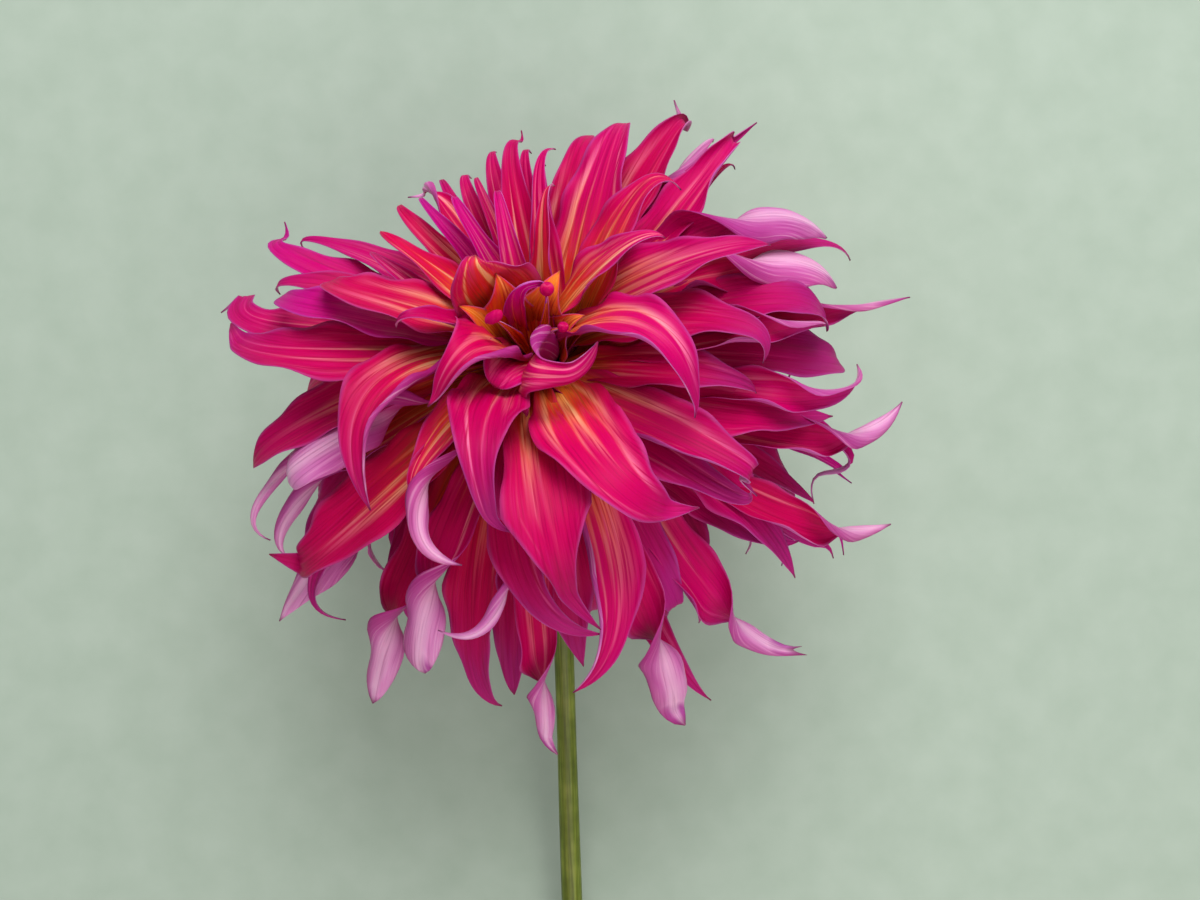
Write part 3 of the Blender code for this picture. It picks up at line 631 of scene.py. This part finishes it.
# ---- Upper florets -------------------------------------------------------------------------------
# Ray florets at the far side of the head: upright, pointed and close behind each other.  The
# younger ones between them are still narrow and folded along the midrib.
grow("upper", [
    ((-35, 47, 26), (-46, 60, 14), 16, dict(widest=0.42, tail=0.3)),
    ((-30, 57, 16), (-39, 66, 6), 13, dict(twist=150, at=0.76, hook=(-45, 64, 5))),
    ((-7, 62, 28), (-6, 80, 22), 17, dict(widest=0.42, hook=(-5.5, 84, 20))),
    ((21, 68, 22), (30, 89, 4), 25, dict(blunt=0.15, widest=0.55)),
    ((38, 74, 12), (50, 90, -3), 19, dict(twist=110, at=0.86, hook=(46.5, 99.6, -6))),
    ((52, 64, 22), (65, 83, 8), 18, dict(twist=90, at=0.8, hook=(74.5, 89.8, 4))),
    ((29, 54, 40), (47, 62, 34), 22, dict(flame=1.6)),
    ((-36, 38, 38), (-51, 49, 30), 18, dict(widest=0.42, tail=0.3, flame=1.6)),
    ((-41, 32, 34), (-55, 43, 24), 16, dict(widest=0.42, tail=0.3)),
    ((-27, 57, 12), (-34, 70, 0), 12, dict(widest=0.42, tail=0.3)),
    ((-22, 60, 8), (-24, 72, -4), 14, dict(widest=0.42, tail=0.3)),
    ((-16, 57, 18), (-21, 70, 4), 9, dict(widest=0.42, tail=0.3)),
    ((-29, 49, 30), (-38, 61, 20), 13, dict(left=60, right=60, tint=0.025, widest=0.42, tail=0.3)),
    ((-20, 48, 36), (-26, 60, 26), 14, dict(left=60, right=60, tint=0.025, widest=0.42, tail=0.3)),
    ((-9, 46, 44), (-12.5, 61, 34), 14, dict(left=60, right=60, tint=0.015, widest=0.42, tail=0.3,
                                           flame=1.5)),
    ((-13, 63, 14), (-15, 80, 2), 17, dict(widest=0.42, tail=0.3)),
    ((1, 58, 34), (6, 77, 24), 14, dict(right=60, hem_right=80, widest=0.42, tail=0.3)),
    ((3, 46, 46), (6, 63, 36), 16, dict(left=40, right=50, widest=0.42, tail=0.3, flame=1.8)),
    ((-4, 66, 12), (-3, 80, 0), 12, dict(widest=0.42, tail=0.3)),
    ((1, 62, 18), (2, 75, 4), 12, dict(widest=0.42, tail=0.3)),
    ((11, 65, 15), (18, 86, 0), 22, dict(blunt=0.3, widest=0.42, tail=0.3)),
    ((45, 70, 6), (60, 85, -6), 18, dict(twist=150)),
    ((48, 66, 10), (60, 79, 0), 18, dict(widest=0.42, tail=0.3)),
    ((51, 61, 15), (67, 74, 3), 14, dict(widest=0.42, tail=0.3)),
], nodes=7, flame=1.15, bands=0.9)

# ---- Right florets -------------------------------------------------------------------------------
# Ray florets at the right of the head: long and drawn out, held only by their claws, with narrow
# tips that twist and stand out from the head.
grow("right", [
    ((45, 37, 48), (75, 43, 44), 24, dict(flame=1.35, bands=1.0)),
    ((57, 19, 50), (72, 5, 50), 22, dict()),
    ((50, -19, 54), (66, -30, 50), 22, dict(left=40, hem_left=60, hook=(70.5, -37, 47))),
    ((70, 26, 38), (96, 17, 22), 24, dict(blunt=0.3)),
    ((69, 16, 44), (93, 18, 34), 19, dict(twist=120, at=0.76, widest=0.68)),
    ((82, -4, 34), (106, 6, 22), 18, dict(twist=100, at=0.7, widest=0.7)),
    ((60, 51, 30), (97, 49, 14), 24, dict(twist=170, at=0.62, blunt=0.35, widest=0.76)),
    ((67, 39, 30), (100, 32, 16), 26, dict(twist=170, at=0.62, blunt=0.35, widest=0.76)),
    ((72, 21, 20), (125, 29, 14), 17, dict(twist=150, at=0.74, span=0.4, widest=0.66, tail=0.3)),
    ((80, -17, 22), (124, -6, 5), 19, dict(twist=160, at=0.76, span=0.3, widest=0.74, tail=0.1,
                                           channel=110)),
    ((71, -39, 18), (121, -48, 0), 17, dict(twist=160, at=0.8, span=0.28, widest=0.76, tail=0.1,
                                           channel=110)),
    ((77, 45, 10), (107, 43, 0), 14, dict()),
    ((76, 11, 22), (102, 8, 5), 26, dict(blunt=0.8)),
    ((49, -29, 48), (69, -35, 40), 20, dict()),
    ((49, 3, 45), (71, -4, 38), 22, dict()),
    ((52, -8, 38), (99, -11, 14), 24, dict()),
    ((61, -41, 10), (90, -54, -5), 22, dict()),
    ((92, -14, 12), (98.5, -30, 2), 9, dict(left=60, right=60, hook=(95, -41, -4), tint=0.02)),
    ((88, -20, 0), (103, -29, -6), 10, dict(hook=(109, -34, -10), tint=0.02)),
    ((76, -28, 5), (95, -41, -4), 18, dict()),
    ((70, -45, -12), (89, -54, -20), 10, dict(hook=(86, -64, -24), tint=0.02)),
    ((75, -42, -10), (99, -56, -18), 16, dict(hook=(104, -61, -20))),
    ((80, -38, -18), (105, -52, -22), 8, dict(hook=(108, -60, -22), tint=0.02)),
], nodes=11, flame=1.0, bands=0.6)

# ---- Front florets -------------------------------------------------------------------------------
# The fully open ray florets on the near side of the heart: the broadest of the head, nearly flat,
# with a bright flame and stripes, arching outwards over the rows below.
grow("front", [
    ((31, 17, 66), (50, -7, 62), 23, dict(left=40, hem_left=50, right=30, hook=(50, -12.5, 60),
                                         flame=1.2)),
    ((20, -23, 72.5), (40, -40, 67.2), 30, dict(widest=0.56, tail=0.2, hook=(51, -40, 66))),
    ((4, -35, 71), (10.5, -66, 61), 27, dict(widest=0.6, tail=0.55, hook=(21, -78.5, 55), flame=1.05)),
    ((-15, -13, 70), (-13, -41, 72), 27, dict(widest=0.52, tail=0.45, hook=(-5.5, -47.5, 70))),
    ((-47, -3, 60), (-50, -41, 62), 23, dict(right=50, hem_right=110)),
    ((-33, -22, 50), (-35, -37, 48), 16, dict(flame=2.0)),
    ((-31, 19, 58), (-43, 16, 54), 13, dict(left=60)),
    ((-10, -30, 55), (-8, -45, 50), 18, dict()),
], nodes=5, flame=1.0)

# ---- Heart florets -------------------------------------------------------------------------------
# The youngest ray florets, round the well in the middle of the flower: still inrolled and soft,
# orange below, seated closest to the axis of the receptacle.
grow("heart", [
    ((-2, 3, 59), (9, 1, 65), 34, dict(roll=60, left=-75, right=-10, hem_right=140, widest=0.5,
                                       tail=0.55, azimuth=0, hook=(20, 10.5, 67), flame=1.4)),
    ((-16, 10, 62), (-29, -4.5, 63), 26, dict(azimuth=-42, left=10, right=20, hem_right=150,
                                              tail=0.4, hook=(-32.5, -9, 61), flame=1.1,
                                              bands=0.55)),
    ((-15, 29, 47), (-18, 38, 58), 29, dict(left=5, right=8, blunt=0.45, azimuth=205, widest=0.72,
                                            ripple=2.0, tail=0.1, flame=2.8, bands=1.3)),
    ((24, 39, 50), (41, 44, 54), 20, dict(flame=1.9)),
    ((-6, 25, 50), (1.5, 29.5, 58), 9, dict(left=80, right=80, hook=(4, 23, 60), tint=0.04,
                                            azimuth=180)),
    ((-9, 23, 42), (-12, 33, 52), 24, dict(left=5, right=5, flame=5.0, azimuth=195)),
    ((2, 23, 42), (8, 34, 50), 22, dict(left=5, right=5, flame=5.0, azimuth=165)),
    ((-16, 18, 42), (-24, 23, 48), 16, dict(flame=5.0, azimuth=250)),
    ((9, 16, 42), (16, 20, 50), 16, dict(flame=5.0, azimuth=120)),
    ((3, 18, 40), (4.2, 27, 58), 5, dict(left=110, right=110, flame=4.0, azimuth=180)),
    ((4, 12, 42), (9, 15, 60), 5, dict(left=110, right=110, flame=4.0, azimuth=90)),
    ((-7, 15, 42), (-12, 18, 60), 5, dict(left=110, right=110, flame=4.0, azimuth=230)),
    ((-6, 5, 50), (-12, -3, 58), 26, dict(blunt=0.8, flame=1.3, azimuth=-30)),
], nodes=4, flame=1.6)

# The innermost florets end in a tight roll of young petal, a few millimetres across, with a spiral
# seam where its margin closes.
ROLL_RINGS, ROLL_SIDES = 20, 32
SEAM_DEPTH = 0.16


def rolled_end(name, place, radius, stretch, lean, seed):
    """A closed ovoid: radius times (sin a cos b, sin a sin b, stretch cos a) at polar angle a and
    turn b, drawn in by SEAM_DEPTH along the seam b = 2.4 a, with its long axis along `lean`."""
    a, b = np.meshgrid(np.linspace(0, np.pi, ROLL_RINGS)[1:-1],
                       2 * np.pi * np.arange(ROLL_SIDES) / ROLL_SIDES, indexing="ij")
    off_seam = np.angle(np.exp(1j * (b - 2.4 * a)))
    swell = radius * (1 - SEAM_DEPTH * np.exp(-(off_seam / 0.22) ** 2) + 0.05 * np.sin(off_seam / 2))
    lean = unit(lean)
    first = unit(np.cross(lean, SIDE))
    second = np.cross(lean, first)
    ball = (swell * np.sin(a) * np.cos(b))[..., None] * first
    ball = ball + (swell * np.sin(a) * np.sin(b))[..., None] * second
    ball = ball + (swell * stretch * np.cos(a))[..., None] * lean
    tops = np.array([[radius * stretch * lean], [-radius * stretch * lean]])[:, 0]
    points = np.concatenate([ball.reshape(-1, 3), tops]) + np.array(place, float)
    index = np.arange(a.size).reshape(a.shape)
    after = np.roll(index, -1, axis=1)
    walls = np.stack([index[:-1], index[1:], after[1:], after[:-1]], -1).reshape(-1, 4)
    caps = [[a.size, index[0, k], after[0, k]] for k in range(ROLL_SIDES)]
    caps += [[a.size + 1, after[-1, k], index[-1, k]] for k in range(ROLL_SIDES)]
    u = np.r_[0.55 + 0.12 * a.ravel(), 0.55, 0.9]
    v = np.r_[np.cos(b).ravel() * 0.8, 0, 0]
    on_blade = np.stack([v * radius, u * 20, np.full(u.size, NOISE_STEP * seed)], -1)
    add_piece(name, points, walls.tolist() + caps, petal_skin, "ray_floret", on_blade=on_blade,
              place=np.stack([u, v, 0 * u], -1), tone=np.tile((1.0, 1.0, 0.492), (u.size, 1)),
              striping=np.full(u.size, 0.3))


rolled_end("ray_heart_roll_1", (4.2, 27.3, 59.5), 2.3, 1.0, (0.1, 0.3, 1.0), 201)
rolled_end("ray_heart_roll_2", (9.3, 15.4, 61.5), 1.7, 1.1, (0.3, 0.1, 1.0), 202)
rolled_end("ray_heart_roll_3", (-12.0, 18.6, 61.0), 2.0, 1.6, (0.8, 0.5, 0.3), 203)

# ---- Waist florets -------------------------------------------------------------------------------
# Full-grown ray florets in the waist of the head, between the back rows and the upper and side ones.
# Their claws take the room that the others leave on the receptacle.
WAIST_ROW = ([104, 122, 140, 158, 176, 194, 212, 230, 248, 266, 284], 88.0, 104.0, 90.0)
grow("waist", back_row(*WAIST_ROW), stations=40, columns=11, bands=0.6)

# ---- Floor, light and camera ---------------------------------------------------------------------
# A plain pale floor under a wide soft light from the top of the head, with a paler fill.
FLOOR_SIZE = 3.0
floor_mesh = bpy.data.meshes.new("floor")
half = FLOOR_SIZE / 2
floor_mesh.from_pydata([(-half, -half, 0), (half, -half, 0), (half, half, 0), (-half, half, 0)], [],
                       [(0, 1, 2, 3)])
floor_paint, tree, shader = surface("pale_matt_floor", 0.9)
grain = node(tree, "TexNoise", {}, Vector=node(tree, "TexCoord", {}, out="Object"), Scale=60.0,
             Detail=4.0)
paint = node(tree, "ValToRGB", {"stops": [(0.3, "#A9B9AA"), (0.7, "#B0BFB1")]}, grain)
tree.links.new(paint, shader.inputs["Base Color"])
floor_mesh.materials.append(floor_paint)
floor = bpy.data.objects.new("floor", floor_mesh)
bpy.context.scene.collection.objects.link(floor)


def soft_light(name, place, target, size, power, colour):
    """A square area light at a place, in metres, that faces a target."""
    lamp = bpy.data.lights.new(name, "AREA")
    lamp.size = size
    lamp.energy = power
    lamp.color = linear(colour)[:3]
    light = bpy.data.objects.new(name, lamp)
    bpy.context.scene.collection.objects.link(light)
    light.location = place
    facing = mathutils.Vector(np.subtract(target, place).tolist())
    light.rotation_euler = facing.to_track_quat("-Z", "Y").to_euler()


HEAD = (CENTRE * MM).tolist()
soft_light("sky", (0.12, 0.80, 0.85), HEAD, 0.7, 10.5, "#FFFFFF")
soft_light("fill", (0.45, -0.25, 1.0), HEAD, 0.7, 1.6, "#FFFAF2")
soft_light("near", (0.15, -0.75, 0.55), HEAD, 0.7, 3.0, "#FFFAF2")
world = bpy.data.worlds.new("studio")
bpy.context.scene.world = world
world.use_nodes = True
world.node_tree.nodes["Background"].inputs[0].default_value = linear("#F2F5F4")
world.node_tree.nodes["Background"].inputs[1].default_value = 0.42
bpy.context.scene.view_settings.view_transform = "Standard"

lens = bpy.data.cameras.new("camera")
lens.lens, lens.sensor_width = 50.0, 36.0
lens.clip_start, lens.clip_end = 0.01, 10.0
camera = bpy.data.objects.new("camera", lens)
camera.location = (0.0118, 0.0637, 0.672)
bpy.context.scene.collection.objects.link(camera)
bpy.context.scene.camera = camera
